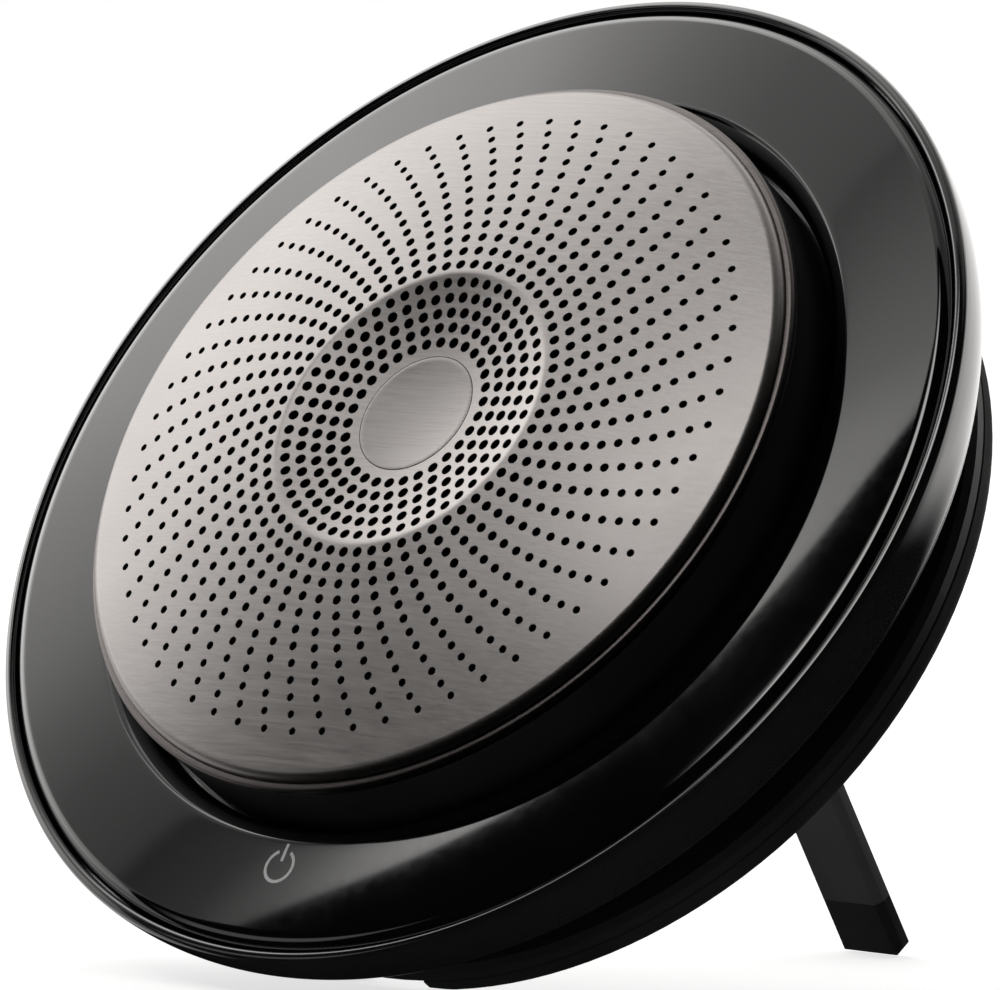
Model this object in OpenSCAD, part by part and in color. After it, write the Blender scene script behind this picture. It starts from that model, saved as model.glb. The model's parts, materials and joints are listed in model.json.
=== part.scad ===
// Conference speakerphone on its fold-out stand.
// Every piece is described in the frame of the disc: +Z is the disc's axis
// towards the grille, +Y is 12 o'clock, and z = 0 is the plane of the rubber
// foot ring. stand_up() then tips the disc back so that it rests on the edge
// of the foot ring and on the tip of the stand, with the table at z = 0.

/* [Disc] */
// Overall diameter over the rim
disc_d = 130; // [126:0.5:136]
// Height of the widest point of the rim above the foot ring
rim_z = 25.1; // [24.5:0.1:25.8]
// Outer diameter of the rubber foot ring
foot_d = 109.8; // [108:0.2:111]
// Edge rounding of the foot ring
foot_round = 2; // [1.4:0.1:2.4]
// Lower edge of the flank: radius
flank_r = 62.1; // [61.4:0.1:62.6]
// Lower edge of the flank: height
flank_z = 17; // [16.6:0.1:17.4]

/* [Grille] */
// Outer radius of the brushed grille
grille_r = 46.4; // [46:0.1:46.6]
// Radius of curvature of the domed grille
dome_r = 226; // [200:1:260]
// Height of the dome's virtual apex
dome_z = 39.12; // [38.8:0.02:39.4]
// Radius of the sunk centre dish
dish_r = 18.2; // [17.6:0.1:18.6]
// Radius of curvature of the dish
dish_curve = 95; // [85:1:105]
// Sheet thickness of the grille
sheet_t = 0.8; // [0.6:0.1:1]
// Radius of the plain cap in the centre
cap_r = 7.6; // [7:0.1:8]

/* [Touch ring] */
// Inner radius of the glossy ring
ring_in = 47.6; // [47.5:0.05:47.8]
// Outer radius of the glossy ring
ring_out = 63.3; // [63:0.05:63.4]
// Wall thickness of the glossy ring
ring_t = 1.6; // [1.2:0.1:1.8]
// Outer diameter of the power symbol
symbol_d = 4.25; // [3:0.05:5]
// Distance of the power symbol from the disc's axis
symbol_r = 53.5; // [53:0.1:57]

/* [Cord wrap] */
// Radius of the cord drum, the floor of the groove
drum_r = 50.2; // [49.6:0.1:50.6]
// Bore radius of the cable inlet
inlet_r = 1.9; // [1.5:0.1:2.2]

/* [Stand] */
// Tilt of the disc's axis away from vertical
tilt = 58.2; // [56:0.1:60]
// Angle through which the leg swings out of its recess
leg_open = 68; // [66:0.5:69]
// Width of the leg
leg_w = 9.4; // [8.6:0.1:10]
// Thickness of the leg
leg_t = 2.6; // [2.4:0.1:2.8]
// Hinge distance from the disc's axis, towards 12 o'clock
hinge_y = 21.85; // [21:0.05:23]
// Hinge pin radius
pin_r = 1; // [0.8:0.05:1.1]
// Radial running clearance on the hinge pin
pin_fit = 0.05; // [0.03:0.01:0.1]
// Length of the rubber tip
tip_len = 8.2; // [7:0.1:10]

/* [Speaker] */
// Outer radius of the driver's flange
driver_r = 26; // [25.8:0.1:26.4]
// Radius of the cone at its rim
cone_r = 16.6; // [16.2:0.1:16.7]
// Travel of the cone each way from rest
cone_travel = 1.2; // [0.5:0.1:1.3]

/* [Hidden] */
$fn = 96;

rim_r = disc_d / 2;
foot_r = foot_d / 2;
rc = foot_r - foot_round;          // centre circle of the foot ring's rounded edge
flat_d = 0.5;                      // depth of the two small flats it stands on
hinge_z = 2.6;
barrel_r = 2.3;
leg_z = hinge_z - barrel_r;        // outer face of the folded leg
slot_w = leg_w + 1;
crest_r = 51;                      // crest of the glossy ring
screw_r = 24.2;                    // pitch radius of the driver's four screws
mic_r = 38;                        // distance of the microphone from the axis
// The disc's frame origin above the table, when it stands on the foot ring's edge
body_up = rc * sin(tilt) - foot_round * cos(tilt) + foot_round - flat_d;
body_back = -1.5465;              // centres the bounding box over the origin
// Length from the hinge to the lower corner of the tip, which meets the table
face_y = -sin(leg_open) * (leg_z + leg_t - hinge_z);
face_z = cos(leg_open) * (leg_z + leg_t - hinge_z);
pin_up = body_up + hinge_y * sin(tilt) + hinge_z * cos(tilt);
face_up = face_y * sin(tilt) + face_z * cos(tilt);
leg_drop = cos(leg_open) * sin(tilt) + sin(leg_open) * cos(tilt);
leg_len = (pin_up + face_up) / leg_drop + 0.45;

function dome(r) = dome_z - r * r / (2 * dome_r);
function dish(r) = dome(dish_r) - (dish_r * dish_r - r * r) / (2 * dish_curve);
function sheet(r) = r < dish_r ? dish(r) : dome(r);
// Top of the glossy ring: a rounded inner shoulder, a face that falls gently outwards, and a rounded outer edge
function ring_top(r) = r < crest_r
    ? 23 + 3.75 * sqrt(1 - pow((crest_r - r) / (crest_r - ring_in), 2))
    : 26.75 - 0.03 * (r - crest_r) - 0.0018 * pow(r - crest_r, 2) - edge_drop(max(0, r - 61.7));
function edge_drop(x) = 1.7 - sqrt(1.7 * 1.7 - x * x);
function arc(cx, cz, rad, a0, a1, n) =
    [for (i = [0:n]) [cx + rad * cos(a0 + (a1 - a0) * i / n), cz + rad * sin(a0 + (a1 - a0) * i / n)]];

module stand_up() { translate([0, body_back, body_up]) rotate([tilt, 0, 0]) children(); }
module swing() { translate([0, hinge_y, hinge_z]) rotate([leg_open, 0, 0]) translate([0, -hinge_y, -hinge_z]) children(); }
module spin() { rotate_extrude() children(); }
module tube(r1, r0, z0, z1) { spin() polygon([[r0, z0], [r1, z0], [r1, z1], [r0, z1]]); }
module at_polar(r, angles) { for (a = angles) rotate(a) translate([r, 0, 0]) children(); }
module above_table() { translate([-100, -100, 0]) cube([200, 200, 200]); }

module grille() {
    rs = [for (r = [cap_r + 0.05, 9.5, 11.5, 13.5, 15.5, 17.3, dish_r - 0.3]) r];
    rd = [for (r = [dish_r + 0.35, 21, 24, 27, 30, 33, 36, 39, 42, 44.5]) r];
    top = concat([for (r = rs) [r, dish(r)]], [for (r = rd) [r, dome(r)]],
        arc(grille_r - 0.9, dome(grille_r) - 0.85, 0.9, 75, 0, 5), [[grille_r, 32.7]]);
    under = concat([[grille_r - sheet_t, 32.7]], [for (i = [len(rd) - 1:-1:0]) [rd[i], dome(rd[i]) - sheet_t]],
        [for (i = [len(rs) - 1:-1:0]) [rs[i], dish(rs[i]) - sheet_t]]);
    color("#a89f9a") stand_up() spin() polygon(concat(top, under));
}

module centre_cap() {
    z1 = dish(cap_r) + 0.02;
    color("#a39a95") stand_up() spin() polygon([[0, z1 - 1.1], [cap_r, z1 - 1.1], [cap_r, z1 - 0.15],
        [cap_r - 0.15, z1], [0, z1]]);
}

module acoustic_cloth() {
    rs = [for (r = [0, 6, 12, 17.9]) r];
    rd = [for (r = [18.5, 25, 32, 39, 44.9]) r];
    low = 1.25;
    top = concat([for (r = rs) [r, dish(max(r, cap_r)) - low]], [for (r = rd) [r, dome(r) - low]]);
    under = concat([for (i = [len(rd) - 1:-1:0]) [rd[i], dome(rd[i]) - low - 0.3]],
        [for (i = [len(rs) - 1:-1:0]) [rs[i], dish(max(rs[i], cap_r)) - low - 0.3]]);
    color("#141414") stand_up() spin() polygon(concat(top, under));
}

module grille_trim_ring() {
    color("#2e2b2b") stand_up() spin() polygon([[grille_r + 0.05, 31.9], [47.3, 31.9], [47.3, 32.7],
        [46.95, 33.15], [grille_r + 0.05, 33.15]]);
}

module speaker_pedestal() {
    color("#0b0b0c") stand_up() difference() {
        spin() polygon([[20.8, 31.1], [43.4, 31.1], [45.1, 29.4], [45.1, 22.2], [47.1, 22.2],
            [47.1, 31.9], [grille_r, 31.9], [grille_r, 32.65], [20.8, 32.65]]);
        at_polar(screw_r, [45:90:315]) translate([0, 0, 30]) cylinder(r = 0.7, h = 2.2);
        rotate(90) translate([mic_r, 0, 30]) cylinder(r = 0.8, h = 4);
    }
}

module symbol2d(w) {
    ro = symbol_d / 2;
    difference() {
        circle(r = ro + w);
        circle(r = ro - 0.4 - w);
        translate([-0.62 + w, 0]) square([1.24 - 2 * w, 3]);
    }
    translate([-0.19 - w, 0.7 - w]) square([0.38 + 2 * w, 2.05 + 2 * w]);
}

module touch_ring() {
    rs = concat([for (i = [0:7]) ring_in + (crest_r - ring_in) * (1 - cos(90 * i / 7))], [53.5, 56, 58.5, 61, 61.7, 62.1, 62.5, 62.8, ring_out - 0.3]);
    top = concat([for (r = rs) [r, ring_top(r)]], [[ring_out, ring_top(ring_out) - 0.1], [ring_out, 24.3]]);
    under = [[61, 24.3], [60.4, ring_top(60) - ring_t], [56, ring_top(56) - ring_t], [53, ring_top(53) - ring_t],
        [50.6, 23.9], [49.4, 22.2], [ring_in, 22.2]];
    color("#0d0d0e") stand_up() difference() {
        spin() polygon(concat(top, under));
        translate([0, -symbol_r, 25.9]) linear_extrude(height = 2) symbol2d(0);
    }
}

module power_symbol() {
    color("#d0d0d0") stand_up() translate([0, -symbol_r, 25.9])
        linear_extrude(height = ring_top(symbol_r) - 25.9 + 0.05) symbol2d(0);
}

module led_light_guide() { color("#dfe6e8") stand_up() tube(60.2, 54, 23.5, 24.7); }

module touch_sensor_board() { color("#1f5a33") stand_up() tube(60.6, 50.9, 22.2, 23.4); }

module upper_housing() {
    flank = [[flank_r - 0.5, flank_z - 0.25], [flank_r, flank_z], [62.95, 18.2], [63.7, 19.6], [64.3, 21.1], [64.72, 22.7], [64.95, 24.2]];
    lip = arc(rim_r - 0.95, rim_z, 0.95, 0, 105, 6);
    color("#111112") stand_up() difference() {
        union() {
            spin() polygon(concat(flank, lip, [[ring_out + 0.25, 25.4], [ring_out + 0.25, 22.2], [41.5, 22.2],
                [41.5, 20.5], [62.2, 20.5], [61.6, 19.2], [60.9, flank_z - 0.25]]));
            at_polar(45, [45:90:315]) translate([0, 0, 19]) cylinder(r = 3, h = 2);
        }
        at_polar(45, [45:90:315]) translate([0, 0, 18.5]) cylinder(r = 1.1, h = 3.2);
    }
}

module middle_housing() {
    color("#0c0c0d") stand_up() difference() {
        spin() polygon([[drum_r - 2, 14.8], [drum_r, 14.8], [53, 15.1], [57, 15.7], [60.85, 16.75], [60.85, 18.6], [57, 17.6],
            [50, 17.1], [50, 19], [41.5, 19], [41.5, 17.2], [drum_r - 2, 17.2]]);
        at_polar(45, [45:90:315]) translate([0, 0, 16]) cylinder(r = 1.35, h = 4);
    }
}

module cord_drum() {
    color("#0c0c0d") stand_up() difference() {
        union() {
            difference() {
                translate([0, 0, 5.7]) cylinder(r = drum_r, h = 9.1);
                translate([0, 0, 5]) cylinder(r = drum_r - 2, h = 11);
            }
            at_polar(44.6, [30, 150, 210, 330]) translate([0, 0, 5.9]) cylinder(r = 4.5, h = 7.8);
        }
        at_polar(44.6, [30, 150, 210, 330]) translate([0, 0, 5]) cylinder(r = 1.1, h = 7.4);
        rotate(90) translate([drum_r - 4, 0, 10.4]) rotate([0, 90, 0]) cylinder(r = 3, h = 6);
    }
}

module base_cover() {
    color("#101011") stand_up() difference() {
        union() {
            spin() polygon([[0, 0.4], [47.4, 0.4], [47.4, 3.4], [foot_r - 0.2, 3.4], [foot_r, 3.6], [foot_r, 4.9],
                [foot_r - 0.7, 5.7], [46.4, 5.7], [45, 2.4], [0, 2.4]]);
            at_polar(44.6, [30, 150, 210, 330]) translate([0, 0, 2]) cylinder(r = 2.8, h = 3.9);
            translate([-8, -46, 2]) cube([16, 73, 3.2]);
            translate([-10, hinge_y - 5, 2]) cube([20, 10, 5.4]);
            for (p = [[-31, -20], [-31, 20], [0, 37]]) translate([p[0], p[1], 2]) cylinder(r = 2.6, h = 6.6);
        }
        translate([-slot_w / 2, -60, -1]) cube([slot_w, 60 + hinge_y - 2, 4.35]);
        translate([-slot_w / 2, hinge_y - 3, -1]) cube([slot_w, 6, 6.75]);
        translate([-8.8, hinge_y, hinge_z]) rotate([0, 90, 0]) cylinder(r = pin_r, h = 17.6);
        at_polar(44.6, [30, 150, 210, 330]) translate([0, 0, 0]) cylinder(r = 2.7, h = 2.2);
        at_polar(44.6, [30, 150, 210, 330]) translate([0, 0, 0]) cylinder(r = 1.35, h = 7);
        for (p = [[-31, -20], [-31, 20], [0, 37]]) translate([p[0], p[1], 3.5]) cylinder(r = 0.8, h = 6);
    }
}

module rubber_foot_ring() {
    color("#19191a") intersection() {
        stand_up() difference() {
            spin() polygon(concat([[47.4, 3.4], [47.4, 0.5], [47.9, 0]], arc(rc, foot_round, foot_round, -90, 0, 8),
                [[foot_r, 3.2], [foot_r - 0.2, 3.4]]));
            translate([-slot_w / 2, -60, -1]) cube([slot_w, 30, 6]);
        }
        above_table();
    }
}

module cable_inlet_bush() {
    color("#202021") stand_up() rotate(90) translate([drum_r, 0, 10.4]) rotate([0, 90, 0]) difference() {
        union() {
            translate([0, 0, -3.2]) cylinder(r = 3, h = 3.5);
            translate([0, 0, 0.25]) cylinder(r = 3.9, h = 1.1);
            translate([0, 0, -3.2]) cylinder(r = 3.6, h = 1);
        }
        translate([0, 0, -4]) cylinder(r = inlet_r, h = 8);
    }
}

module speaker_gasket() { color("#2a2a2a") stand_up() difference() {
    tube(driver_r, 20.6, 30.5, 31.1);
    at_polar(screw_r, [45:90:315]) translate([0, 0, 30]) cylinder(r = 0.9, h = 2);
} }
module speaker_screws() { color("#77797c") stand_up() at_polar(screw_r, [45:90:315]) translate([0, 0, 28.8]) screw(3.2, 1.4, 0.9, 0.7); }

module speaker_surround() {
    color("#262626") stand_up() difference() {
        spin() polygon(concat([[17, 30.2], [17.3, 30.2]], arc(18.7, 30.2, 1.4, 180, 0, 8),
            [[driver_r, 30.2], [driver_r, 30.5], [20.45, 30.5]], arc(18.7, 30.35, 1.7, 5, 175, 8), [[17, 30.5]]));
        at_polar(screw_r, [45:90:315]) translate([0, 0, 30]) cylinder(r = 0.9, h = 2);
    }
}

module speaker_basket() {
    color("#3a3b3d") stand_up() difference() {
        spin() polygon([[12.6, 21], [13.6, 21], [22.1, 28.4], [22.4, 28.8], [driver_r, 28.8], [driver_r, 30.2], [20.6, 30.2], [20.6, 28.9],
            [12.6, 22.2], [6.2, 22.2], [6.2, 21]]);
        at_polar(16.5, [0:60:300]) translate([-3, -3, 20]) cube([6, 6, 7.6]);
        at_polar(screw_r, [45:90:315]) translate([0, 0, 28]) cylinder(r = 0.9, h = 3);
    }
}

module speaker_top_plate() { color("#8d9094") stand_up() tube(12, 5.5, 19.2, 21); }
module speaker_magnet() { color("#3c3f44") stand_up() tube(12.5, 6.6, 14.6, 19.2); }
module speaker_yoke() {
    color("#85888c") stand_up() spin() polygon([[0, 12.8], [11.4, 12.8], [12, 13.4], [12, 14.6], [4.4, 14.6], [4.4, 21.2], [0, 21.2]]);
}
module speaker_spider() {
    color("#b8862f") stand_up() spin() polygon(concat([for (i = [0:14]) [5.6 + 0.48 * i, 22.42 + 0.12 * (i % 2 == 0 ? 1 : -1)]],
        [[12.6, 22.2], [12.6, 22.75]], [for (i = [14:-1:0]) [5.6 + 0.48 * i, 22.78 + 0.12 * (i % 2 == 0 ? 1 : -1)]]));
}
module speaker_cone() {
    color("#1b1b1c") stand_up() spin() polygon([[5.15, 24.5], [5.9, 24.5], [9, 26.9], [13, 29.3], [cone_r, 30.15],
        [cone_r, 30.65], [12.9, 29.85], [8.7, 27.4], [5.15, 24.9]]);
}
module speaker_dust_cap() {
    color("#242425") stand_up() spin() polygon([[0, 28.4], [2.5, 28.15], [5, 27.3], [7.4, 26.5],
        [7.2, 26.95], [5.1, 27.75], [2.6, 28.6], [0, 28.85]]);
}
module voice_coil() { color("#b5673a") stand_up() tube(5.15, 4.75, 17.8, 24.9); }

module acoustic_chamber() {
    color("#1d1d1e") stand_up() difference() {
        spin() polygon([[0, 11], [28.6, 11], [30, 12.4], [30, 31.1], [28.4, 31.1], [28.4, 12.4], [0, 12.4]]);
        translate([-40, 0, 18]) rotate([0, 90, 0]) cylinder(r = 1.2, h = 20);
    }
}

module microphone() { color("#b8b9bb") stand_up() rotate(90) translate([mic_r, 0, 28.6]) cylinder(r = 1.9, h = 1.4); }
module microphone_boot() { color("#151515") stand_up() rotate(90) translate([mic_r, 0, 0]) difference() {
    translate([0, 0, 28.6]) cylinder(r = 2.9, h = 2.5);
    translate([0, 0, 28.5]) cylinder(r = 1.9, h = 1.5);
    translate([0, 0, 29]) cylinder(r = 0.8, h = 3);
} }

module main_board() {
    color("#1d5b34") stand_up() difference() {
        translate([0, 0, 8.6]) cylinder(r = 39, h = 1.2);
        for (p = [[-31, -20], [-31, 20], [0, 37]]) translate([p[0], p[1], 8]) cylinder(r = 1, h = 3);
        translate([31, 26, 8]) cube([14, 14, 3]);
        translate([31, -40, 8]) cube([14, 14, 3]);
    }
}
module board_chips() {
    color("#202225") stand_up() {
        translate([-14, -33.5, 9.8]) cube([9, 9, 1]);
        translate([6, -34.5, 9.8]) cube([12, 5, 1]);
        translate([31.5, -8, 9.8]) cube([6, 6, 1.2]);
        translate([-37, -7, 9.8]) cube([5, 14, 1.1]);
        translate([32, 4, 9.8]) cube([5, 9, 2.4]);
    }
}
module battery_pack() {
    color("#4b6fa5") stand_up() difference() {
        translate([10.4, -24, 2.6]) cube([24, 48, 5.4]);
        for (s = [-1, 1]) translate([10, s * 24 - 0.8, 7.2]) cube([26, 1.6, 2]);
    }
}

module screw(l, hr, hh, r) { cylinder(r = r, h = l); translate([0, 0, -hh]) difference() {
    cylinder(r = hr, h = hh);
    for (a = [0, 90]) rotate(a) translate([-hr * 0.62, -0.22, -0.1]) cube([hr * 1.24, 0.44, hh * 0.55]);
} }
module base_screws() { color("#3b3c3e") stand_up() at_polar(44.6, [30, 150, 210, 330]) translate([0, 0, 2.2]) screw(9.6, 2.4, 1.3, 1.1); }
module housing_screws() { color("#3b3c3e") stand_up() at_polar(45, [45:90:315]) translate([0, 0, 17.2]) screw(4.3, 2.4, 1.3, 1.1); }
module board_screws() { color("#77797c") stand_up() for (p = [[-31, -20], [-31, 20], [0, 37]]) translate([p[0], p[1], 9.8])
    rotate([180, 0, 0]) screw(5.6, 1.7, 1.1, 0.8); }

// Outline of the folded leg in plan, from the hinge to the end of its tip
module leg_plan(y0, y1, round_end) {
    c = round_end ? 1.5 : 0;
    w = leg_w / 2;
    pts = round_end
        ? concat([[-w, y0]], [for (i = [0:5]) [-w + c - c * cos(18 * i), y1 + c - c * sin(18 * i)]],
            [for (i = [5:-1:0]) [w - c + c * cos(18 * i), y1 + c - c * sin(18 * i)]], [[w, y0]])
        : [[-w, y0], [-w, y1], [w, y1], [w, y0]];
    polygon(pts);
}
// Cross-section of the leg: the face that looks into the body has bevelled edges
module leg_section(y0, y1) {
    w = leg_w / 2; b = 0.75;
    translate([0, y0, 0]) rotate([90, 0, 0]) linear_extrude(height = y0 - y1)
        polygon([[-w + 0.3, leg_z], [w - 0.3, leg_z], [w, leg_z + 0.3], [w, leg_z + leg_t - 1], [w - b, leg_z + leg_t],
            [-w + b, leg_z + leg_t], [-w, leg_z + leg_t - 1], [-w, leg_z + 0.3]]);
}

module kickstand_leg() {
    y_tip = hinge_y - leg_len + tip_len;
    color("#262627") stand_up() swing() difference() {
        union() {
            leg_section(hinge_y, y_tip);
            translate([-leg_w / 2, hinge_y, hinge_z]) rotate([0, 90, 0]) cylinder(r = barrel_r, h = leg_w);
            translate([-2.6, y_tip - 5, leg_z + 0.7]) cube([5.2, 5.2, leg_t - 1.4]);
        }
        translate([-10, hinge_y, hinge_z]) rotate([0, 90, 0]) cylinder(r = pin_r + pin_fit, h = 20);
    }
}

module kickstand_tip() {
    y_tip = hinge_y - leg_len + tip_len;
    color("#0f0f10") intersection() {
        stand_up() swing() difference() {
            intersection() {
                leg_section(y_tip, y_tip - tip_len);
                translate([0, 0, leg_z - 1]) linear_extrude(height = leg_t + 2) leg_plan(y_tip + 1, y_tip - tip_len, true);
            }
            translate([-2.6, y_tip - 5, leg_z + 0.7]) cube([5.2, 6, leg_t - 1.4]);
        }
        above_table();
    }
}

module kickstand_pin() {
    color("#9a9da1") stand_up() translate([-8.8, hinge_y, hinge_z]) rotate([0, 90, 0]) cylinder(r = pin_r, h = 17.6);
}

module stand_detent_spring() {
    color("#8f9296") stand_up() translate([-4.2, hinge_y - 2.7, 5.45]) cube([8.4, 5.4, 0.3]);
}

grille();
centre_cap();
acoustic_cloth();
grille_trim_ring();
speaker_pedestal();
touch_ring();
power_symbol();
led_light_guide();
touch_sensor_board();
upper_housing();
middle_housing();
cord_drum();
base_cover();
rubber_foot_ring();
cable_inlet_bush();
speaker_gasket();
speaker_screws();
speaker_surround();
speaker_basket();
speaker_top_plate();
speaker_magnet();
speaker_yoke();
speaker_spider();
speaker_cone();
speaker_dust_cap();
voice_coil();
acoustic_chamber();
microphone();
microphone_boot();
main_board();
board_chips();
battery_pack();
base_screws();
housing_screws();
board_screws();
kickstand_leg();
kickstand_tip();
kickstand_pin();
stand_detent_spring();
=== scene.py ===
import json
import math
import bpy, bmesh
from mathutils import Matrix, Vector
from mathutils.geometry import delaunay_2d_cdt


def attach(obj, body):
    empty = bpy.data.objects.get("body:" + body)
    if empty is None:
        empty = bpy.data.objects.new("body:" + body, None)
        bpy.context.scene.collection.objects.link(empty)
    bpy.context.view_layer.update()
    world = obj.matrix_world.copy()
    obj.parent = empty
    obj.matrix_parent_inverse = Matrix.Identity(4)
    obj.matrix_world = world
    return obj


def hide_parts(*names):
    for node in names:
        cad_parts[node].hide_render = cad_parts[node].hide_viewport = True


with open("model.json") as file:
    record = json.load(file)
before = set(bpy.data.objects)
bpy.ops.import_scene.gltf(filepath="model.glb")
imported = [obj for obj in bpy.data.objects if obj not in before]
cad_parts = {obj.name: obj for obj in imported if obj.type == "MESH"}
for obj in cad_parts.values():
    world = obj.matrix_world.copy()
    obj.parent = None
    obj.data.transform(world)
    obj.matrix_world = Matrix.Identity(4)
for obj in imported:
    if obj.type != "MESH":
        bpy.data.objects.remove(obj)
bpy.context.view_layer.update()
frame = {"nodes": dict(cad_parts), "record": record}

nodes = frame["nodes"]
sc = bpy.context.scene
MM = 0.001

# ---------------------------------------------------------------- disc frame
TILT = math.radians(58.2)
CT, ST = math.cos(TILT), math.sin(TILT)
UP = 52.9 * ST - 2 * CT + 1.5
BACK = -1.5465


def D(x, y, z):
    """A point of the disc's own frame, in millimetres, as a point of the row frame."""
    return Vector((x, BACK + y * CT - z * ST, UP + y * ST + z * CT)) * MM


def Dn(x, y, z):
    return Vector((x, y * CT - z * ST, y * ST + z * CT)).normalized()


# ---------------------------------------------------------------- mesh helpers
def new_object(name, verts, faces, mat, body="body", normals=None, sharp=None):
    me = bpy.data.meshes.new(name)
    me.from_pydata(verts, [], faces)
    me.validate()
    for p in me.polygons:
        p.use_smooth = True
    if sharp is not None:
        me.set_sharp_from_angle(angle=math.radians(sharp))
    me.update()
    if normals is not None and len(normals) == len(me.vertices):
        me.normals_split_custom_set_from_vertices(normals)
    ob = bpy.data.objects.new(name, me)
    sc.collection.objects.link(ob)
    me.materials.append(mat)
    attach(ob, body)
    return ob


def arc(cx, cz, rad, a0, a1, n):
    return [(cx + rad * math.cos(math.radians(a0 + (a1 - a0) * i / n)),
             cz + rad * math.sin(math.radians(a0 + (a1 - a0) * i / n))) for i in range(n + 1)]


def spline(pts, per=5):
    """Catmull-Rom points through pts."""
    out = []
    for i in range(len(pts) - 1):
        p0 = pts[max(i - 1, 0)]; p1 = pts[i]; p2 = pts[i + 1]; p3 = pts[min(i + 2, len(pts) - 1)]
        for k in range(per):
            t = k / per
            out.append(tuple(0.5 * ((2 * p1[j]) + (-p0[j] + p2[j]) * t + (2 * p0[j] - 5 * p1[j] + 4 * p2[j] - p3[j]) * t * t
                                    + (-p0[j] + 3 * p1[j] - 3 * p2[j] + p3[j]) * t ** 3) for j in (0, 1)))
    out.append(tuple(pts[-1]))
    return out


def revolve(name, profile, mat, seg=288, sharp=32, body="body"):
    """A closed ring swept from a closed profile of (r, z), in millimetres. The profile runs anticlockwise."""
    area = sum(profile[i][0] * profile[(i + 1) % len(profile)][1] - profile[(i + 1) % len(profile)][0] * profile[i][1]
               for i in range(len(profile)))
    if area < 0:
        profile = profile[::-1]
    n = len(profile)
    verts, faces = [], []
    for k in range(seg):
        a = 2 * math.pi * k / seg
        ca, sa = math.cos(a), math.sin(a)
        verts += [D(r * ca, r * sa, z) for r, z in profile]
    for k in range(seg):
        b0, b1 = k * n, ((k + 1) % seg) * n
        for i in range(n):
            j = (i + 1) % n
            faces.append((b0 + i, b1 + i, b1 + j, b0 + j))
    return new_object(name, verts, faces, mat, body, sharp=sharp)


def refined(name, node, width, mat, body="body", angle=30, seg=3):
    """A copy of a CAD node's mesh, welded, with its facets merged and its edges rounded."""
    bm = bmesh.new()
    bm.from_mesh(nodes[node].data)
    bmesh.ops.remove_doubles(bm, verts=bm.verts, dist=2e-6)
    bmesh.ops.dissolve_limit(bm, angle_limit=math.radians(0.6), verts=bm.verts, edges=bm.edges)
    edges = [e for e in bm.edges if len(e.link_faces) == 2 and e.calc_face_angle(0) > math.radians(angle)]
    bmesh.ops.bevel(bm, geom=edges, offset=width * MM, segments=seg, profile=0.5, affect="EDGES", clamp_overlap=True)
    me = bpy.data.meshes.new(name)
    bm.to_mesh(me)
    bm.free()
    for p in me.polygons:
        p.use_smooth = True
    me.set_sharp_from_angle(angle=math.radians(35))
    ob = bpy.data.objects.new(name, me)
    sc.collection.objects.link(ob)
    me.materials.clear()
    me.materials.append(mat)
    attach(ob, body)
    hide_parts(node)
    return ob


# ---------------------------------------------------------------- materials
class Nodes:
    def __init__(self, name):
        self.mat = bpy.data.materials.new(name)
        self.mat.use_nodes = True
        self.t = self.mat.node_tree
        self.bsdf = self.t.nodes["Principled BSDF"]
        self.co = self.t.nodes.new("ShaderNodeTexCoord").outputs["Object"]

    def n(self, kind, **k):
        x = self.t.nodes.new(kind)
        for a, v in k.items():
            setattr(x, a, v)
        return x

    def link(self, a, b):
        self.t.links.new(a, b)

    def mapping(self, scale, rot=(0, 0, 0), co=None):
        m = self.n("ShaderNodeMapping")
        m.inputs["Rotation"].default_value = rot
        m.inputs["Scale"].default_value = scale
        self.link(co or self.co, m.inputs["Vector"])
        return m.outputs["Vector"]

    def disc(self, scale):
        """Coordinates in the disc's frame, then scaled."""
        m = self.mapping((1, 1, 1), (-TILT, 0, 0))
        return self.mapping(scale, co=m)

    def noise(self, vec, scale, detail=3, rough=0.55):
        x = self.n("ShaderNodeTexNoise")
        x.inputs["Scale"].default_value = scale
        x.inputs["Detail"].default_value = detail
        x.inputs["Roughness"].default_value = rough
        self.link(vec, x.inputs["Vector"])
        return x.outputs["Fac"]

    def remap(self, fac, lo, hi, a=0.3, b=0.7):
        x = self.n("ShaderNodeMapRange")
        for i, v in ((1, a), (2, b), (3, lo), (4, hi)):
            x.inputs[i].default_value = v
        self.link(fac, x.inputs[0])
        return x.outputs[0]

    def ramp(self, fac, c0, c1, a=0.35, b=0.65):
        x = self.n("ShaderNodeValToRGB")
        x.color_ramp.elements[0].position = a
        x.color_ramp.elements[1].position = b
        x.color_ramp.elements[0].color = (*c0, 1)
        x.color_ramp.elements[1].color = (*c1, 1)
        self.link(fac, x.inputs[0])
        return x.outputs[0]

    def bump(self, height, strength, distance, after=None):
        x = self.n("ShaderNodeBump")
        x.inputs["Strength"].default_value = strength
        x.inputs["Distance"].default_value = distance
        self.link(height, x.inputs["Height"])
        if after is not None:
            self.link(after, x.inputs["Normal"])
        return x.outputs["Normal"]


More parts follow.
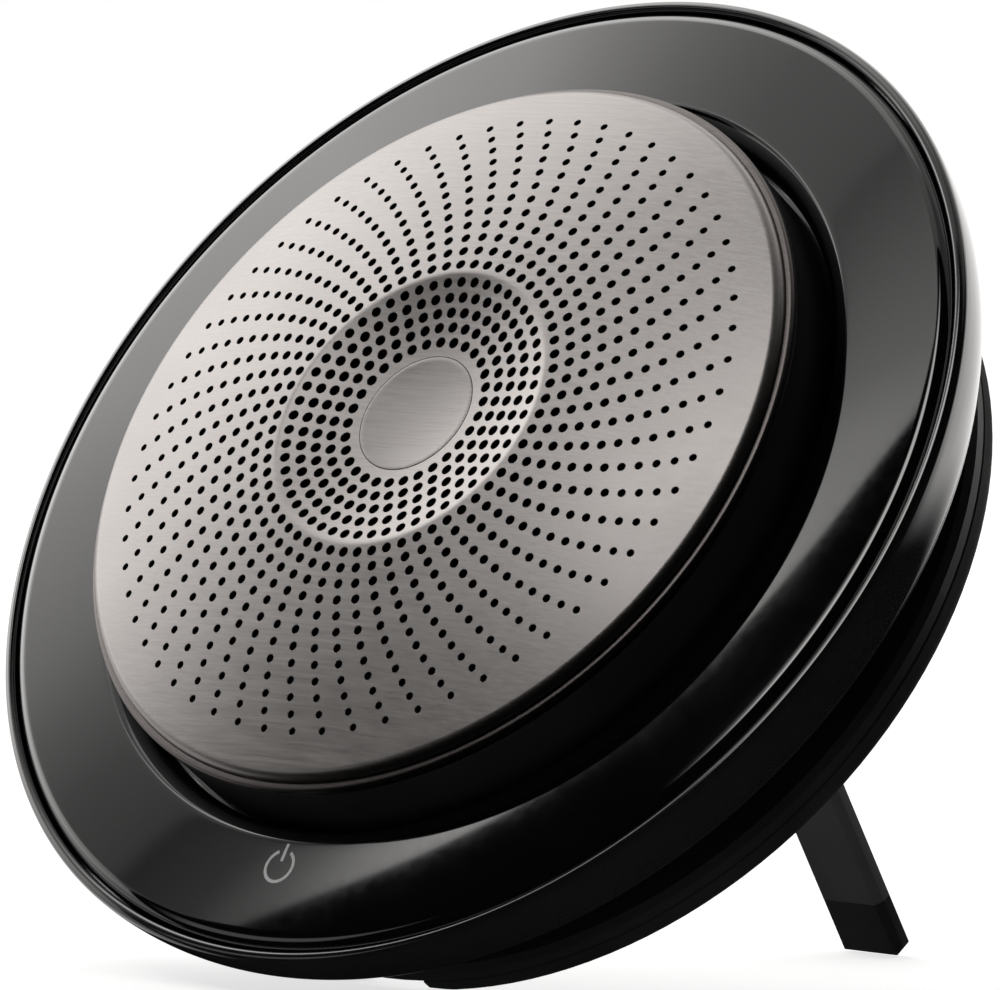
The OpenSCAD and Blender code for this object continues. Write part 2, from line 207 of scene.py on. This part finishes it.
def brushed(name, lo, hi, r0, r1, strength=0.22):
    m = Nodes(name)
    grain = m.noise(m.disc((60, 2600, 2600)), 1.0, 4, 0.7)
    fine = m.noise(m.disc((220, 7000, 7000)), 1.0, 2, 0.6)
    cloud = m.noise(m.disc((1, 1, 1)), 45, 2)
    mix = m.n("ShaderNodeMath", operation="MULTIPLY_ADD")
    m.link(grain, mix.inputs[0]); mix.inputs[1].default_value = 0.6
    mm = m.n("ShaderNodeMath", operation="MULTIPLY"); m.link(fine, mm.inputs[0]); mm.inputs[1].default_value = 0.4
    m.link(mm.outputs[0], mix.inputs[2])
    m.link(m.ramp(mix.outputs[0], lo, hi, 0.3, 0.7), m.bsdf.inputs["Base Color"])
    add = m.n("ShaderNodeMath", operation="ADD")
    m.link(m.remap(mix.outputs[0], r0, r1), add.inputs[0]); m.link(m.remap(cloud, -0.02, 0.03), add.inputs[1])
    m.link(add.outputs[0], m.bsdf.inputs["Roughness"])
    m.bsdf.inputs["Metallic"].default_value = 1.0
    m.link(m.bump(mix.outputs[0], strength, 0.00002), m.bsdf.inputs["Normal"])
    return m.mat


def plastic(name, lo, hi, r0, r1, grain=2600, strength=0.25, depth=0.00002, coat=0.0, metal=0.0, spec=0.5, smudge=35):
    m = Nodes(name)
    tex = m.noise(m.co, grain, 3)
    cloud = m.noise(m.co, smudge, 4, 0.6)
    m.link(m.ramp(cloud, lo, hi), m.bsdf.inputs["Base Color"])
    add = m.n("ShaderNodeMath", operation="ADD")
    m.link(m.remap(cloud, r0, r1), add.inputs[0]); m.link(m.remap(tex, -0.01, 0.015), add.inputs[1])
    m.link(add.outputs[0], m.bsdf.inputs["Roughness"])
    m.bsdf.inputs["Metallic"].default_value = metal
    m.bsdf.inputs["Specular IOR Level"].default_value = spec
    m.bsdf.inputs["Coat Weight"].default_value = coat
    m.link(m.bump(tex, strength, depth), m.bsdf.inputs["Normal"])
    return m.mat


def cloth(name, lo, hi, pitch=1500):
    m = Nodes(name)
    v = m.disc((1, 1, 1))
    waves = []
    for axis in ("X", "Y"):
        w = m.n("ShaderNodeTexWave", wave_type="BANDS", bands_direction=axis)
        w.inputs["Scale"].default_value = pitch
        w.inputs["Distortion"].default_value = 0.6
        m.link(v, w.inputs["Vector"])
        waves.append(w.outputs["Fac"])
    mx = m.n("ShaderNodeMath", operation="MAXIMUM")
    m.link(waves[0], mx.inputs[0]); m.link(waves[1], mx.inputs[1])
    m.link(m.ramp(mx.outputs[0], lo, hi, 0.2, 0.9), m.bsdf.inputs["Base Color"])
    m.link(m.remap(mx.outputs[0], 0.95, 0.8, 0, 1), m.bsdf.inputs["Roughness"])
    m.bsdf.inputs["Specular IOR Level"].default_value = 0.2
    m.link(m.bump(mx.outputs[0], 0.5, 0.00005), m.bsdf.inputs["Normal"])
    return m.mat


def board(name):
    m = Nodes(name)
    v = m.n("ShaderNodeTexVoronoi", feature="DISTANCE_TO_EDGE")
    v.inputs["Scale"].default_value = 420
    m.link(m.co, v.inputs["Vector"])
    m.link(m.ramp(v.outputs["Distance"], (0.03, 0.16, 0.07), (0.012, 0.085, 0.035), 0.02, 0.09), m.bsdf.inputs["Base Color"])
    m.link(m.remap(m.noise(m.co, 300), 0.32, 0.5), m.bsdf.inputs["Roughness"])
    m.link(m.bump(v.outputs["Distance"], 0.3, 0.00003), m.bsdf.inputs["Normal"])
    return m.mat


M = {
    "brushed_metal": brushed("grille_brushed", (0.33, 0.312, 0.304), (0.45, 0.428, 0.417), 0.29, 0.40),
    "cap_metal": brushed("cap_brushed", (0.27, 0.255, 0.25), (0.36, 0.342, 0.333), 0.24, 0.32),
    "black_cloth": cloth("cloth_black", (0.002, 0.002, 0.002), (0.008, 0.008, 0.008)),
    "dark_trim": brushed("trim_dark", (0.16, 0.145, 0.14), (0.22, 0.20, 0.195), 0.30, 0.40, 0.1),
    "black_plastic": plastic("plastic_black", (0.004, 0.004, 0.0045), (0.007, 0.007, 0.0075), 0.38, 0.48, spec=0.3),
    "gloss_black": plastic("gloss_black", (0.0012, 0.0012, 0.0014), (0.002, 0.002, 0.0022), 0.03, 0.06, grain=900, strength=0.02, depth=0.000003, spec=1.0, coat=1.0),
    "symbol_inlay": plastic("symbol_grey", (0.50, 0.50, 0.50), (0.60, 0.60, 0.60), 0.35, 0.45),
    "light_guide": plastic("light_guide", (0.75, 0.8, 0.82), (0.85, 0.9, 0.92), 0.12, 0.2),
    "circuit_board": board("board_green"),
    "housing_black": plastic("housing_black", (0.004, 0.004, 0.0045), (0.006, 0.006, 0.0065), 0.09, 0.14, grain=1500, strength=0.04, depth=0.000006, spec=1.0, coat=1.0),
    "foot_rubber": plastic("rubber_black", (0.003, 0.003, 0.003), (0.006, 0.006, 0.006), 0.62, 0.78, grain=1800, strength=0.5, depth=0.00004, spec=0.3),
    "plated_steel": brushed("plated_steel", (0.40, 0.41, 0.42), (0.55, 0.56, 0.57), 0.3, 0.42, 0.2),
    "screw_steel": plastic("screw_black", (0.06, 0.06, 0.062), (0.10, 0.10, 0.102), 0.3, 0.42, metal=1.0),
    "magnet": plastic("magnet_ferrite", (0.03, 0.03, 0.032), (0.055, 0.055, 0.058), 0.55, 0.7, strength=0.4),
    "spider_cloth": cloth("spider_cloth", (0.30, 0.16, 0.05), (0.50, 0.29, 0.10)),
    "cone_paper": plastic("cone_paper", (0.012, 0.012, 0.012), (0.022, 0.022, 0.022), 0.6, 0.8, grain=900, strength=0.6, depth=0.00006),
    "copper": brushed("copper_winding", (0.55, 0.20, 0.09), (0.75, 0.32, 0.16), 0.25, 0.35, 0.3),
    "mic_can": brushed("mic_can", (0.6, 0.6, 0.6), (0.75, 0.75, 0.75), 0.3, 0.4, 0.1),
    "chip": plastic("chip_black", (0.012, 0.012, 0.013), (0.02, 0.02, 0.022), 0.5, 0.65),
    "battery_wrap": plastic("battery_blue", (0.05, 0.12, 0.30), (0.08, 0.17, 0.38), 0.2, 0.32, grain=400, strength=0.15, depth=0.00008),
    "leg_dark": plastic("leg_dark", (0.016, 0.016, 0.0165), (0.022, 0.022, 0.0225), 0.34, 0.44, spec=0.45),
    "pin_steel": brushed("pin_steel", (0.45, 0.45, 0.46), (0.62, 0.62, 0.63), 0.2, 0.3, 0.1),
}
slot_of = {s["node"]: s["material_slot"] for s in frame["record"]["subparts"]}
for n, o in nodes.items():
    o.data.materials.clear()
    o.data.materials.append(M[slot_of[n]])

# ---------------------------------------------------------------- grille
DOME_R, DOME_Z, DISH_R, DISH_C = 226.0, 39.12, 18.2, 95.0


def dome(r): return DOME_Z - r * r / (2 * DOME_R)
def dish(r): return dome(DISH_R) - (DISH_R ** 2 - r * r) / (2 * DISH_C)


LIP0, LIP1 = 17.88, 18.56


def sheet(r):
    """Height and slope of the sheet's outer face."""
    if r <= LIP0:
        return dish(r), r / DISH_C
    if r >= LIP1:
        return dome(r), -r / DOME_R
    t = (r - LIP0) / (LIP1 - LIP0)
    s0, s1 = LIP0 / DISH_C, -LIP1 / DOME_R
    w = LIP1 - LIP0
    return dish(LIP0) + w * (s0 * t + (s1 - s0) * t * t / 2) + t * (dome(LIP1) - dish(LIP0) - w * (s0 + s1) / 2), s0 + (s1 - s0) * t


def holes():
    out = []
    radii = [1, .9524, .9045, .8566, .8088, .7606, .7128, .6645, .6165, .5683, .5201, .4719]
    step = [0, 1.32, 1.32, 1.30, 1.287, 1.289, 1.312, 1.248, 1.264, 1.238, 1.241, 1.207]
    ang = 2.475
    for i, (rr, st) in enumerate(zip(radii, step)):
        ang -= st
        d = 0.88 + 0.34 * i / 11
        for k in range(60):
            out.append((41.03 * rr, math.radians(ang + 6 * k), d / 2))
    for r, n in ((17.0, 54), (15.08, 48), (13.2, 42), (11.34, 36), (9.46, 30)):
        for k in range(n):
            out.append((r, 2 * math.pi * k / n, (1.30 if r < 16.5 else 1.22) / 2))
    return out


def perforated(name, mat):
    T = 0.8
    verts, norms, faces = [], [], []

    def add(x, y, z, n):
        verts.append(D(x, y, z)); norms.append(Dn(*n)); return len(verts) - 1

    hs = holes()
    SIDES, SEG = 14, 240
    EDGE = 45.35

    def annulus(r_in, r_out, hole_set):
        """Triangulates the sheet between two radii around its holes. Returns the rim vertices of the top and the underside."""
        pts, edges, tag = [], [], []

        def loop(cx, cy, rad, n, kind):
            b = len(pts)
            for k in range(n):
                a = 2 * math.pi * k / n
                pts.append(Vector((cx + rad * math.cos(a), cy + rad * math.sin(a)))); tag.append(kind)
            edges.extend((b + k, b + (k + 1) % n) for k in range(n))
            return b

        bo = loop(0, 0, r_out, SEG, "rim")
        bi = loop(0, 0, r_in, SEG, "rim")
        hl = []
        for r, a, h in hole_set:
            hl.append((loop(r * math.cos(a), r * math.sin(a), h + 0.05, SIDES, "hole"), r * math.cos(a), r * math.sin(a), h))
        for rr in [r_in + 0.6 + i * (r_out - r_in - 1.2) / 12 for i in range(13)]:
            for k in range(90):
                a = 2 * math.pi * (k + 0.37) / 90
                x, y = rr * math.cos(a), rr * math.sin(a)
                if all((x - hx) ** 2 + (y - hy) ** 2 > (h + 0.3) ** 2 for _, hx, hy, h in hl):
                    pts.append(Vector((x, y))); tag.append("fill")
        vo, _, fo, orig, _, _ = delaunay_2d_cdt(pts, edges, [], 0, 1e-7)
        back = {}
        for i, o in enumerate(orig):
            for j in o:
                back[j] = i
        top, low = [], []
        for v in vo:
            r = math.hypot(v.x, v.y)
            z, s = sheet(r)
            n = (-s * v.x / max(r, 1e-9), -s * v.y / max(r, 1e-9), 1)
            top.append(add(v.x, v.y, z, n))
            low.append(add(v.x, v.y, z - T, (-n[0], -n[1], -1)))
        centres = {}
        cell = 2.0
        for _, hx, hy, h in hl:
            centres.setdefault((int(hx // cell), int(hy // cell)), []).append((hx, hy, h))
        for f in fo:
            a, b, c = (vo[i] for i in f)
            gx, gy = (a.x + b.x + c.x) / 3, (a.y + b.y + c.y) / 3
            gr = math.hypot(gx, gy)
            if gr < r_in * math.cos(math.pi / SEG) or gr > r_out:
                continue
            inside = False
            ci, cj = int(gx // cell), int(gy // cell)
            for di in (-1, 0, 1):
                for dj in (-1, 0, 1):
                    for hx, hy, h in centres.get((ci + di, cj + dj), ()):
                        if (gx - hx) ** 2 + (gy - hy) ** 2 < (h + 0.05) ** 2 * 0.97:
                            inside = True
            if inside:
                continue
            if (b.x - a.x) * (c.y - a.y) - (b.y - a.y) * (c.x - a.x) < 0:
                f = (f[0], f[2], f[1])
            faces.append(tuple(top[i] for i in f))
            faces.append(tuple(low[i] for i in reversed(f)))
        for b, hx, hy, h in hl:
            rings = []
            for dep, rad, tilt in ((0.05, h, 0.35), (0.16, h - 0.01, 0.0)):
                row = []
                for k in range(SIDES):
                    a = 2 * math.pi * k / SIDES
                    x, y = hx + rad * math.cos(a), hy + rad * math.sin(a)
                    z, _ = sheet(math.hypot(x, y))
                    row.append(add(x, y, z - dep, (-math.cos(a), -math.sin(a), tilt)))
                rings.append(row)
            upper = [top[back[b + k]] for k in range(SIDES)]
            lower = [low[back[b + k]] for k in range(SIDES)]
            chain = [upper, *rings, lower]
            for r0, r1 in zip(chain, chain[1:]):
                for k in range(SIDES):
                    j = (k + 1) % SIDES
                    faces.append((r0[k], r0[j], r1[j], r1[k]))
        rim = lambda b, side: [side[back[b + k]] for k in range(SEG)]
        return rim(bo, top), rim(bo, low), rim(bi, top), rim(bi, low)

    def ring(r, z, slope_n):
        return [add(r * math.cos(2 * math.pi * k / SEG), r * math.sin(2 * math.pi * k / SEG), z,
                    (slope_n[0] * math.cos(2 * math.pi * k / SEG), slope_n[0] * math.sin(2 * math.pi * k / SEG), slope_n[1])) for k in range(SEG)]

    def strip(inner, outer):
        """Quads between two rims, facing up when inner is the smaller."""
        for k in range(SEG):
            j = (k + 1) % SEG
            faces.append((inner[k], outer[k], outer[j], inner[j]))

    out_t, out_l, o_in_t, o_in_l = annulus(LIP1 + 0.1, EDGE, [h for h in hs if h[0] > DISH_R])
    d_out_t, d_out_l, d_in_t, d_in_l = annulus(7.65, LIP0 - 0.1, [h for h in hs if h[0] < DISH_R])
    lip_t, lip_l = [d_out_t], [d_out_l]
    for i in range(1, 8):
        r = LIP0 - 0.1 + (LIP1 - LIP0 + 0.2) * i / 8
        z, s = sheet(r)
        lip_t.append(ring(r, z, (-s, 1)))
        lip_l.append(ring(r, z - T, (s, -1)))
    lip_t.append(o_in_t); lip_l.append(o_in_l)
    for a, b in zip(lip_t, lip_t[1:]):
        strip(a, b)
    for a, b in zip(lip_l, lip_l[1:]):
        strip(b, a)
    # rolled outer edge
    z_e, s_e = sheet(EDGE)
    a_s = math.degrees(math.atan2(1, -s_e))
    rad = (46.4 - EDGE) / (1 - math.cos(math.radians(a_s)))
    cx, cz = 46.4 - rad, z_e - rad * math.sin(math.radians(a_s))
    prev = out_t
    for i in range(1, 9):
        a = a_s * (1 - i / 8)
        cur = ring(cx + rad * math.cos(math.radians(a)), cz + rad * math.sin(math.radians(a)), (math.cos(math.radians(a)), math.sin(math.radians(a))))
        strip(prev, cur); prev = cur
    foot = ring(46.4, 32.7, (1, 0)); strip(prev, foot)
    foot_o = ring(46.4, 32.7, (0, -1)); foot_i = ring(45.65, 32.7, (0, -1)); strip(foot_o, foot_i)
    in0 = ring(45.65, 32.7, (-1, 0)); in1 = ring(45.65, z_e - T - 0.5, (-1, -0.3)); strip(in0, in1); strip(in1, out_l)
    # inner edge round the cap
    w0 = ring(7.65, sheet(7.65)[0], (-1, 0)); w1 = ring(7.65, sheet(7.65)[0] - T, (-1, 0)); strip(w1, w0)
    ob = new_object(name, verts, faces, mat, "body", normals=norms)
    return ob


grille = perforated("grille_sheet", M["brushed_metal"])
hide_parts("grille")

# centre cap: a shallow dished disc with a rounded rim
zc = dish(7.6) + 0.02
cap_prof = [(0.02, zc - 1.1)] + [(7.45, zc - 1.1), (7.6, zc - 0.95)] + arc(7.5, zc - 0.10, 0.10, 0, 88, 6) + [(r, dish(r) + 0.02) for r in (7.0, 6.2, 5.2, 4.2, 3.2, 2.2, 1.2, 0.5, 0.02)]
cap = revolve("cap_disc", cap_prof, M["cap_metal"], seg=160)
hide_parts("centre_cap")

# trim: the second, dark lip
trim = revolve("trim_lip", [(46.45, 31.9)] + arc(47.05, 32.15, 0.25, -90, 0, 4) + arc(46.85, 32.7, 0.45, 0, 75, 6) + [(46.45, 33.15)], M["dark_trim"])
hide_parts("grille_trim_ring")

# ---------------------------------------------------------------- touch ring
RI, RO = 47.6, 63.3


CREST = 51.0
SHOULDER = 50.3     # the shoulder's curve is a little tighter than the plain quarter ellipse


def ring_top(r):
    if r < SHOULDER:
        return 23 + 3.765 * math.sqrt(max(0.0, 1 - ((SHOULDER - r) / (SHOULDER - RI)) ** 2))
    if r < CREST:
        return 26.765 - 0.015 * (r - SHOULDER) / (CREST - SHOULDER)
    x = max(0.0, r - 61.7)
    return 26.75 - 0.03 * (r - CREST) - 0.0018 * (r - CREST) ** 2 - (1.7 - math.sqrt(1.7 ** 2 - x * x))


top = [RI + (SHOULDER - RI) * (1 - math.cos(math.pi / 2 * i / 24)) for i in range(25)]
top += [SHOULDER + (61.7 - SHOULDER) * i / 24 for i in range(1, 25)] + [61.7 + 1.6 * math.sin(math.pi / 2 * i / 12) for i in range(1, 13)]
top = [(r, ring_top(r)) for r in top]
ring_prof = [(RI, 22.2), (49.4, 22.2), (50.6, 23.9), (53, 24.92), (56, 25.1), (60.4, 24.94), (61, 24.3), (RO, 24.3)] + top[::-1]
touch = revolve("touch_ring_gloss", ring_prof, M["gloss_black"], seg=384, sharp=45)
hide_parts("touch_ring")

# power symbol: a thin inlay that follows the ring's crown
def symbol(name, mat, lift=0.03):
    verts, faces = [], []
    cy, ro, w = -53.5, 2.125, 0.40

    def grid(rows):
        """rows of points across the stroke; makes a closed thin ribbon."""
        b = len(verts)
        m = len(rows[0])
        for lev in (lift, -0.12):
            for row in rows:
                for x, y in row:
                    r = math.hypot(x, y)
                    verts.append(D(x, y, ring_top(r) + lev))
        n = len(rows)
        idx = lambda l, i, j: b + l * n * m + i * m + j
        for i in range(n - 1):
            for j in range(m - 1):
                faces.append((idx(0, i, j), idx(0, i + 1, j), idx(0, i + 1, j + 1), idx(0, i, j + 1)))
                faces.append((idx(1, i, j + 1), idx(1, i + 1, j + 1), idx(1, i + 1, j), idx(1, i, j)))
        for i in range(n - 1):
            faces.append((idx(0, i, 0), idx(1, i, 0), idx(1, i + 1, 0), idx(0, i + 1, 0)))
            faces.append((idx(0, i + 1, m - 1), idx(1, i + 1, m - 1), idx(1, i, m - 1), idx(0, i, m - 1)))
        for j in range(m - 1):
            faces.append((idx(0, 0, j + 1), idx(1, 0, j + 1), idx(1, 0, j), idx(0, 0, j)))
            faces.append((idx(0, n - 1, j), idx(1, n - 1, j), idx(1, n - 1, j + 1), idx(0, n - 1, j + 1)))

    gap = math.radians(26)
    rows = []
    for i in range(49):
        a = math.pi / 2 + gap + (2 * math.pi - 2 * gap) * i / 48
        rows.append([((ro - w * j / 3) * math.cos(a), cy + (ro - w * j / 3) * math.sin(a)) for j in range(4)])
    grid(rows)
    grid([[(-0.2 + 0.4 * j / 3, cy + 0.62 + 2.2 * i / 8) for j in range(4)] for i in range(9)])
    bm = bmesh.new(); me = bpy.data.meshes.new(name)
    me.from_pydata(verts, [], faces)
    bm.from_mesh(me); bmesh.ops.recalc_face_normals(bm, faces=bm.faces); bm.to_mesh(me); bm.free()
    for p in me.polygons:
        p.use_smooth = True
    me.set_sharp_from_angle(angle=math.radians(40))
    ob = bpy.data.objects.new(name, me); sc.collection.objects.link(ob); me.materials.append(mat)
    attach(ob, "body")
    return ob


sym = symbol("power_mark", M["symbol_inlay"])
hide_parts("power_symbol")

# ---------------------------------------------------------------- rim, lip and flank
flank = spline([(62.1, 17.0), (62.95, 18.2), (63.7, 19.6), (64.3, 21.1), (64.72, 22.7), (64.95, 24.2), (65.0, 25.1)], 6)
lip = arc(64.15, 25.1, 0.85, 0, 85, 10) + [(64.1 - 0.58 * math.sin(math.radians(a)), 25.2 + 0.78 * math.cos(math.radians(a))) for a in range(4, 91, 8)]
rim_prof = [(60.9, 16.75), (61.5, 16.72)] + arc(61.75, 16.98, 0.32, -80, -20, 4) + flank + lip[1:] + \
    [(63.52, 24.9), (63.52, 22.2), (41.5, 22.2), (41.5, 20.5), (62.2, 20.5), (61.6, 19.2), (60.95, 17.4)]
rim = revolve("rim_and_flank", rim_prof, M["housing_black"], seg=384, sharp=38)
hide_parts("upper_housing")

ped_prof = [(20.8, 31.1), (43.4, 31.1), (45.1, 29.4), (45.1, 22.2), (47.0, 22.2), (47.1, 22.3), (47.1, 31.75), (46.95, 31.9), (46.4, 31.9), (46.4, 32.65), (20.8, 32.65)]
ped = revolve("pedestal_wall", ped_prof, M["black_plastic"], seg=240, sharp=30)
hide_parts("speaker_pedestal")

# ---------------------------------------------------------------- stand
leg = refined("stand_leg_blade", "kickstand_leg", 0.12, M["leg_dark"], "stand")
tip = refined("stand_tip_rubber", "kickstand_tip", 0.12, M["foot_rubber"], "stand")

# ---------------------------------------------------------------- camera
EYE = Vector((551.76255368, -652.68354779, 81.4022149)) * MM
RIGHT = Vector((0.75312004, 0.65632845, 0.04520156))
DOWN = Vector((0.05416527, 0.00661447, -0.99851008))
FWD = Vector((-0.65564955, 0.7544463, -0.03056872))
cam_data = bpy.data.cameras.new("camera")
cam_data.sensor_width = 36
cam_data.lens = 263.6155
cam_data.clip_start, cam_data.clip_end = 0.01, 50
cam = bpy.data.objects.new("camera", cam_data)
rot = Matrix((RIGHT, -DOWN, -FWD)).transposed().to_4x4()
cam.matrix_world = Matrix.Translation(EYE) @ rot
sc.collection.objects.link(cam)
sc.camera = cam

# ---------------------------------------------------------------- floor
fm = Nodes("floor_pale")
sp = fm.noise(fm.co, 60, 3)
fm.link(fm.ramp(sp, (0.80, 0.80, 0.80), (0.83, 0.83, 0.83)), fm.bsdf.inputs["Base Color"])
fm.bsdf.inputs["Roughness"].default_value = 0.9
fm.bsdf.inputs["Specular IOR Level"].default_value = 0.0
fm.bsdf.inputs["Emission Color"].default_value = (1, 1, 1, 1)
fm.bsdf.inputs["Emission Strength"].default_value = 0.70
bpy.ops.mesh.primitive_circle_add(vertices=128, radius=12, fill_type="NGON", location=(0, 0, -0.0002))
floor = bpy.context.object
floor.name = "floor"
floor.data.materials.append(fm.mat)
floor.visible_glossy = False

# ---------------------------------------------------------------- studio
def direction(az, el):
    a, e = math.radians(az), math.radians(el)
    return Vector((math.sin(a) * math.cos(e), -math.cos(a) * math.cos(e), math.sin(e)))


world = bpy.data.worlds.new("studio")
sc.world = world
world.use_nodes = True
wt = world.node_tree
wt.nodes.clear()


def W(kind, **k):
    x = wt.nodes.new(kind)
    for a, v in k.items():
        setattr(x, a, v)
    return x


def math_node(op, a, b=None, c=None):
    x = W("ShaderNodeMath", operation=op)
    for i, v in enumerate((a, b, c)):
        if v is None:
            continue
        if isinstance(v, (int, float)):
            x.inputs[i].default_value = v
        else:
            wt.links.new(v, x.inputs[i])
    return x.outputs[0]


gen = W("ShaderNodeTexCoord").outputs["Generated"]


def dot(vec):
    x = W("ShaderNodeVectorMath", operation="DOT_PRODUCT")
    wt.links.new(gen, x.inputs[0])
    x.inputs[1].default_value = vec
    return x.outputs["Value"]


def step(value, at, soft):
    """0 below at-soft, 1 above at+soft."""
    x = W("ShaderNodeMapRange", interpolation_type="SMOOTHSTEP")
    wt.links.new(value, x.inputs[0])
    for i, v in ((1, at - soft), (2, at + soft), (3, 0), (4, 1)):
        x.inputs[i].default_value = v
    return x.outputs[0]


# Soft boxes are laid out on a plane square to the direction that the disc mirrors towards the camera.
e0 = direction(-60, 42)
e1 = e0.cross(Vector((0, 0, 1))).normalized()
e2 = e1.cross(e0)
d0 = dot(e0)
safe = math_node("MAXIMUM", d0, 0.05)
u = math_node("DIVIDE", dot(e1), safe)
v = math_node("DIVIDE", dot(e2), safe)


def panel(cu, cv, w, h, soft, level, turn=0.0):
    """A soft box on that plane: centre, half-sizes, edge softness and radiance."""
    t = math.radians(turn)
    uu = math_node("SUBTRACT", u, cu); vv = math_node("SUBTRACT", v, cv)
    x = math_node("ADD", math_node("MULTIPLY", uu, math.cos(t)), math_node("MULTIPLY", vv, math.sin(t)))
    y = math_node("SUBTRACT", math_node("MULTIPLY", vv, math.cos(t)), math_node("MULTIPLY", uu, math.sin(t)))
    m = math_node("MULTIPLY", math_node("SUBTRACT", 1, step(math_node("ABSOLUTE", x), w, soft)),
                  math_node("SUBTRACT", 1, step(math_node("ABSOLUTE", y), h, soft)))
    return math_node("MULTIPLY", math_node("MULTIPLY", m, step(d0, 0.12, 0.06)), level)


# The main light is a fan of panels around that direction: one set of levels close to it, another further out.
angle = math_node("MULTIPLY_ADD", math_node("ARCTAN2", v, u), 1 / (2 * math.pi), 0.5)


def fan(stops):
    x = W("ShaderNodeValToRGB")
    el = x.color_ramp.elements
    for i, (deg, val) in enumerate(stops):
        pos = (deg + 180) / 360
        e = el[0] if i == 0 else el[-1] if i == len(stops) - 1 else el.new(pos)
        e.position = pos
        e.color = (val / 3, val / 3, val / 3, 1)
    wt.links.new(angle, x.inputs[0])
    sp_ = W("ShaderNodeSeparateColor")
    wt.links.new(x.outputs[0], sp_.inputs[0])
    return math_node("MULTIPLY", sp_.outputs[0], 3.0)


near = fan([(-180, 2.0), (-160, 1.9), (-148, 1.8), (-138, 1.6), (-130, 1.2), (-120, 0.5), (-110, 0.18), (-96, 0.1), (-95, 0.22), (-80, 0.31),
            (-70, 0.5), (-60, 0.8), (-40, 1.2), (-28, 1.55), (0, 1.85), (22, 1.5), (32, 1.05), (42, 0.74), (50, 0.58), (60, 0.45),
            (72, 0.41), (84, 0.36), (85, 0.26), (100, 0.45), (120, 0.72), (130, 1.06), (150, 1.4), (165, 1.7), (180, 2.0)])
far = fan([(-180, 0.32), (-130, 0.42), (-120, 0.36), (-110, 0.22), (-96, 0.22), (-95, 0.6), (-80, 1.05), (-70, 1.4), (-60, 1.75),
           (-40, 2.45), (-28, 2.6), (0, 2.1), (22, 2.15), (32, 2.1), (42, 1.8), (50, 1.55), (60, 1.15), (72, 0.85), (84, 0.7),
           (85, 0.4), (100, 0.34), (112, 0.25), (130, 0.22), (180, 0.24)])
rad = math_node("SQRT", math_node("ADD", math_node("MULTIPLY", u, u), math_node("MULTIPLY", v, v)))
w_far = step(rad, 0.24, 0.04)
lit = math_node("ADD", math_node("MULTIPLY", near, math_node("SUBTRACT", 1, w_far)), math_node("MULTIPLY", far, w_far))
lit = math_node("MULTIPLY", lit, step(math_node("MULTIPLY_ADD", v, 0.09, u), -0.09, 0.002))
lit = math_node("MULTIPLY", lit, math_node("MULTIPLY", math_node("SUBTRACT", 1, math_node("MULTIPLY", step(rad, 0.8, 0.2), 0.6)), step(d0, 0.12, 0.06)))
# a second large light behind the left side
side = math_node("MULTIPLY", math_node("MULTIPLY", step(dot(e1), 0.45, 0.2), step(dot(Vector((0, 0, 1))), -0.1, 0.1)), 1.15)
total = math_node("ADD", math_node("MAXIMUM", lit, side), 0.003)
for p in (panel(-0.36, 0.27, 0.15, 0.22, 0.06, 3.0), panel(-0.45, -0.75, 0.3, 0.25, 0.08, 0.35)):
    total = math_node("ADD", p, total)
bg = W("ShaderNodeBackground")
bg.inputs["Color"].default_value = (1, 0.985, 0.97, 1)
wt.links.new(total, bg.inputs["Strength"])
white = W("ShaderNodeBackground")
white.inputs["Color"].default_value = (1, 1, 1, 1)
white.inputs["Strength"].default_value = 1.0
lp = W("ShaderNodeLightPath")
mixw = W("ShaderNodeMixShader")
wt.links.new(lp.outputs["Is Camera Ray"], mixw.inputs[0])
wt.links.new(bg.outputs[0], mixw.inputs[1])
wt.links.new(white.outputs[0], mixw.inputs[2])
wt.links.new(mixw.outputs[0], W("ShaderNodeOutputWorld").inputs["Surface"])
world.cycles.sampling_method = "MANUAL"
world.cycles.sample_map_resolution = 1024

sc.view_settings.view_transform = "Standard"
sc.view_settings.look = "None"

bpy.context.view_layer.update()
